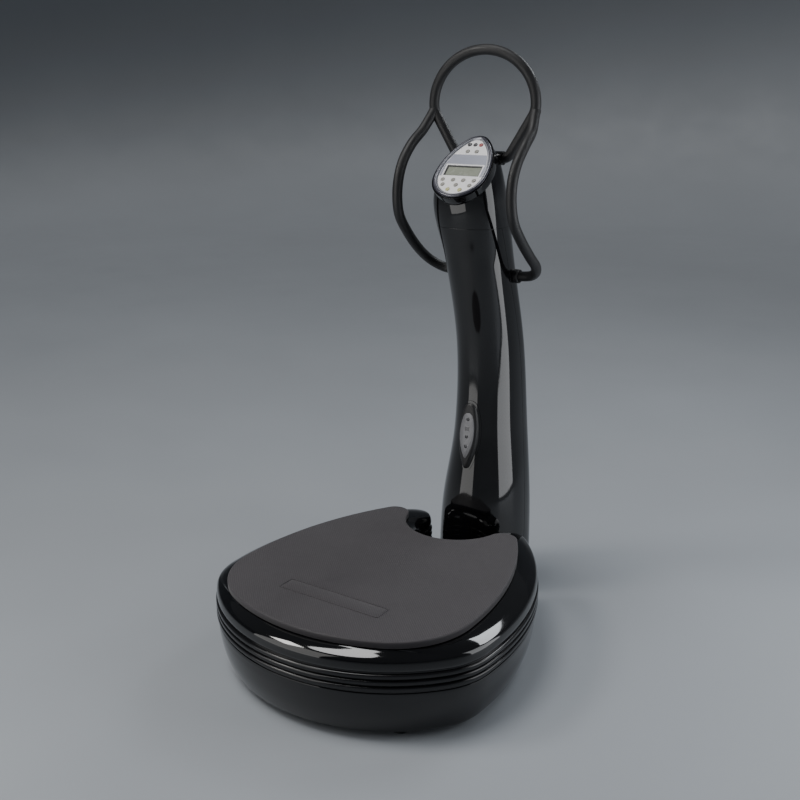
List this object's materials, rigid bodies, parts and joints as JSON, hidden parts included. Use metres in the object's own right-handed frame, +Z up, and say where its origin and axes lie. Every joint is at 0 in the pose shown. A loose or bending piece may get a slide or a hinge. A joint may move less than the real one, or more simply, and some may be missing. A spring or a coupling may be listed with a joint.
{
  "type": "vibration plate",
  "caption": "Whole-body vibration platform with a three-lobed sprung plate, leaning column, teardrop console and bent tube handrail.",
  "frame": {"origin": "floor level, at the middle of the whole machine in plan", "axes": "+Z up; +X to the right of a user who stands on the platform facing the column; +Y from the platform towards the column"},
  "size_m": [0.8174, 1.0962, 1.5755],
  "materials": {
    "gloss_black": "high gloss",
    "matte_black": "fine texture",
    "mat_rubber": "dotted, charcoal grey",
    "black_rubber": "matte",
    "grip_coating": "satin soft-touch",
    "bare_steel": "machined",
    "painted_steel": "satin powder coat",
    "silver_plastic": "metallic silver",
    "white_plastic": "satin white",
    "display_pane": "grey-green liquid crystal",
    "circuit_board": "solder mask"
  },
  "bodies": {
    "frame": {"base_frame": "painted_steel", "lower_housing": "gloss_black", "bellows": "gloss_black", "isolator_1": "black_rubber", "isolator_2": "black_rubber", "isolator_3": "black_rubber", "isolator_4": "black_rubber", "motor_controller": "painted_steel", "column_mast": "painted_steel", "column_front_shell": "gloss_black", "column_rear_shell": "gloss_black", "column_foot_trim": "matte_black", "left_handle_socket": "matte_black", "right_handle_socket": "matte_black", "inlet_panel": "matte_black", "power_inlet": "matte_black", "head_housing": "gloss_black", "console_bezel": "silver_plastic", "console_faceplate": "white_plastic", "display_window": "display_pane", "control_board": "circuit_board", "remote_dock": "gloss_black", "remote_housing": "matte_black", "remote_faceplate": "silver_plastic", "remote_display": "display_pane", "upper_hoop": "grip_coating", "left_handle": "grip_coating", "right_handle": "grip_coating"},
    "plate": {"vibration_plate": "painted_steel", "upper_skirt": "gloss_black", "rubber_mat": "mat_rubber", "motor_housing_left": "painted_steel", "motor_housing_right": "painted_steel"},
    "rotor_left": {"rotor_left": "bare_steel"},
    "rotor_right": {"rotor_right": "bare_steel"},
    "console_key_1": {"console_key_1": "silver_plastic"},
    "console_key_2": {"console_key_2": "silver_plastic"},
    "console_key_3": {"console_key_3": "silver_plastic"},
    "console_key_4": {"console_key_4": "silver_plastic"},
    "console_key_5": {"console_key_5": "silver_plastic"},
    "console_key_6": {"console_key_6": "silver_plastic"},
    "console_key_7": {"console_key_7": "silver_plastic"},
    "console_key_8": {"console_key_8": "silver_plastic"},
    "console_key_9": {"console_key_9": "silver_plastic"},
    "console_key_10": {"console_key_10": "silver_plastic"},
    "console_key_11": {"console_key_11": "silver_plastic"},
    "console_key_12": {"console_key_12": "silver_plastic"},
    "console_key_13": {"console_key_13": "silver_plastic"},
    "console_key_14": {"console_key_14": "silver_plastic"},
    "remote_key_1": {"remote_key_1": "matte_black"},
    "remote_key_2": {"remote_key_2": "matte_black"},
    "remote_key_3": {"remote_key_3": "matte_black"},
    "power_switch": {"power_switch": "matte_black"},
    "levelling_foot_1": {"levelling_foot_1": "black_rubber"},
    "levelling_foot_2": {"levelling_foot_2": "black_rubber"},
    "levelling_foot_3": {"levelling_foot_3": "black_rubber"},
    "levelling_foot_4": {"levelling_foot_4": "black_rubber"},
    "levelling_foot_5": {"levelling_foot_5": "black_rubber"},
    "levelling_foot_6": {"levelling_foot_6": "black_rubber"}
  },
  "joints": [
    {"name": "plate_vibration", "type": "slide", "parent": "frame", "child": "plate", "axis": [0, 0, 1], "range_m": [-0.0025, 0.0025], "stiffness_N_per_m": 200000, "springref_m": 0.0031, "deforming": ["bellows", "isolator_1", "isolator_2", "isolator_3", "isolator_4"]},
    {"name": "motor_left_spin", "type": "hinge", "parent": "plate", "child": "rotor_left", "pos_m": [-0.15, -0.1513, 0.16], "axis": [1, 0, 0], "continuous": true},
    {"name": "motor_right_spin", "type": "hinge", "parent": "plate", "child": "rotor_right", "pos_m": [0.15, -0.1513, 0.16], "axis": [1, 0, 0], "continuous": true},
    {"name": "console_key_1_press", "type": "slide", "parent": "frame", "child": "console_key_1", "axis": [0, 0.6947, -0.7193], "range_m": [0, 0.0008], "stiffness_N_per_m": 900, "springref_m": -0.0006},
    {"name": "console_key_2_press", "type": "slide", "parent": "frame", "child": "console_key_2", "axis": [0, 0.6947, -0.7193], "range_m": [0, 0.0008], "stiffness_N_per_m": 900, "springref_m": -0.0006},
    {"name": "console_key_3_press", "type": "slide", "parent": "frame", "child": "console_key_3", "axis": [0, 0.6947, -0.7193], "range_m": [0, 0.0008], "stiffness_N_per_m": 900, "springref_m": -0.0006},
    {"name": "console_key_4_press", "type": "slide", "parent": "frame", "child": "console_key_4", "axis": [0, 0.6947, -0.7193], "range_m": [0, 0.0008], "stiffness_N_per_m": 900, "springref_m": -0.0006},
    {"name": "console_key_5_press", "type": "slide", "parent": "frame", "child": "console_key_5", "axis": [0, 0.6947, -0.7193], "range_m": [0, 0.0008], "stiffness_N_per_m": 900, "springref_m": -0.0006},
    {"name": "console_key_6_press", "type": "slide", "parent": "frame", "child": "console_key_6", "axis": [0, 0.6947, -0.7193], "range_m": [0, 0.0008], "stiffness_N_per_m": 900, "springref_m": -0.0006},
    {"name": "console_key_7_press", "type": "slide", "parent": "frame", "child": "console_key_7", "axis": [0, 0.6947, -0.7193], "range_m": [0, 0.0008], "stiffness_N_per_m": 900, "springref_m": -0.0006},
    {"name": "console_key_8_press", "type": "slide", "parent": "frame", "child": "console_key_8", "axis": [0, 0.6947, -0.7193], "range_m": [0, 0.0008], "stiffness_N_per_m": 900, "springref_m": -0.0006},
    {"name": "console_key_9_press", "type": "slide", "parent": "frame", "child": "console_key_9", "axis": [0, 0.6947, -0.7193], "range_m": [0, 0.0008], "stiffness_N_per_m": 900, "springref_m": -0.0006},
    {"name": "console_key_10_press", "type": "slide", "parent": "frame", "child": "console_key_10", "axis": [0, 0.6947, -0.7193], "range_m": [0, 0.0008], "stiffness_N_per_m": 900, "springref_m": -0.0006},
    {"name": "console_key_11_press", "type": "slide", "parent": "frame", "child": "console_key_11", "axis": [0, 0.6947, -0.7193], "range_m": [0, 0.0008], "stiffness_N_per_m": 900, "springref_m": -0.0006},
    {"name": "console_key_12_press", "type": "slide", "parent": "frame", "child": "console_key_12", "axis": [0, 0.6947, -0.7193], "range_m": [0, 0.0008], "stiffness_N_per_m": 900, "springref_m": -0.0006},
    {"name": "console_key_13_press", "type": "slide", "parent": "frame", "child": "console_key_13", "axis": [0, 0.6947, -0.7193], "range_m": [0, 0.0008], "stiffness_N_per_m": 900, "springref_m": -0.0006},
    {"name": "console_key_14_press", "type": "slide", "parent": "frame", "child": "console_key_14", "axis": [0, 0.6947, -0.7193], "range_m": [0, 0.0008], "stiffness_N_per_m": 900, "springref_m": -0.0006},
    {"name": "remote_key_1_press", "type": "slide", "parent": "frame", "child": "remote_key_1", "axis": [0, 0.9903, -0.1392], "range_m": [0, 0.0008], "stiffness_N_per_m": 900, "springref_m": -0.0006},
    {"name": "remote_key_2_press", "type": "slide", "parent": "frame", "child": "remote_key_2", "axis": [0, 0.9903, -0.1392], "range_m": [0, 0.0008], "stiffness_N_per_m": 900, "springref_m": -0.0006},
    {"name": "remote_key_3_press", "type": "slide", "parent": "frame", "child": "remote_key_3", "axis": [0, 0.9903, -0.1392], "range_m": [0, 0.0008], "stiffness_N_per_m": 900, "springref_m": -0.0006},
    {"name": "power_switch_rock", "type": "hinge", "parent": "frame", "child": "power_switch", "pos_m": [0.022, 0.531, 0.15], "axis": [1, 0, 0], "range_deg": [-7, 7]},
    {"name": "levelling_foot_1_screw", "type": "hinge", "parent": "frame", "child": "levelling_foot_1", "pos_m": [-0.235, -0.3963, 0], "axis": [0, 0, 1], "continuous": true},
    {"name": "levelling_foot_2_screw", "type": "hinge", "parent": "frame", "child": "levelling_foot_2", "pos_m": [0.235, -0.3963, 0], "axis": [0, 0, 1], "continuous": true},
    {"name": "levelling_foot_3_screw", "type": "hinge", "parent": "frame", "child": "levelling_foot_3", "pos_m": [-0.25, 0.1187, 0], "axis": [0, 0, 1], "continuous": true},
    {"name": "levelling_foot_4_screw", "type": "hinge", "parent": "frame", "child": "levelling_foot_4", "pos_m": [0.25, 0.1187, 0], "axis": [0, 0, 1], "continuous": true},
    {"name": "levelling_foot_5_screw", "type": "hinge", "parent": "frame", "child": "levelling_foot_5", "pos_m": [-0.075, 0.4787, 0], "axis": [0, 0, 1], "continuous": true},
    {"name": "levelling_foot_6_screw", "type": "hinge", "parent": "frame", "child": "levelling_foot_6", "pos_m": [0.075, 0.4787, 0], "axis": [0, 0, 1], "continuous": true}
  ],
  "couplings": [
    {"joint": "motor_right_spin", "follows": "motor_left_spin", "ratio": -1}
  ]
}
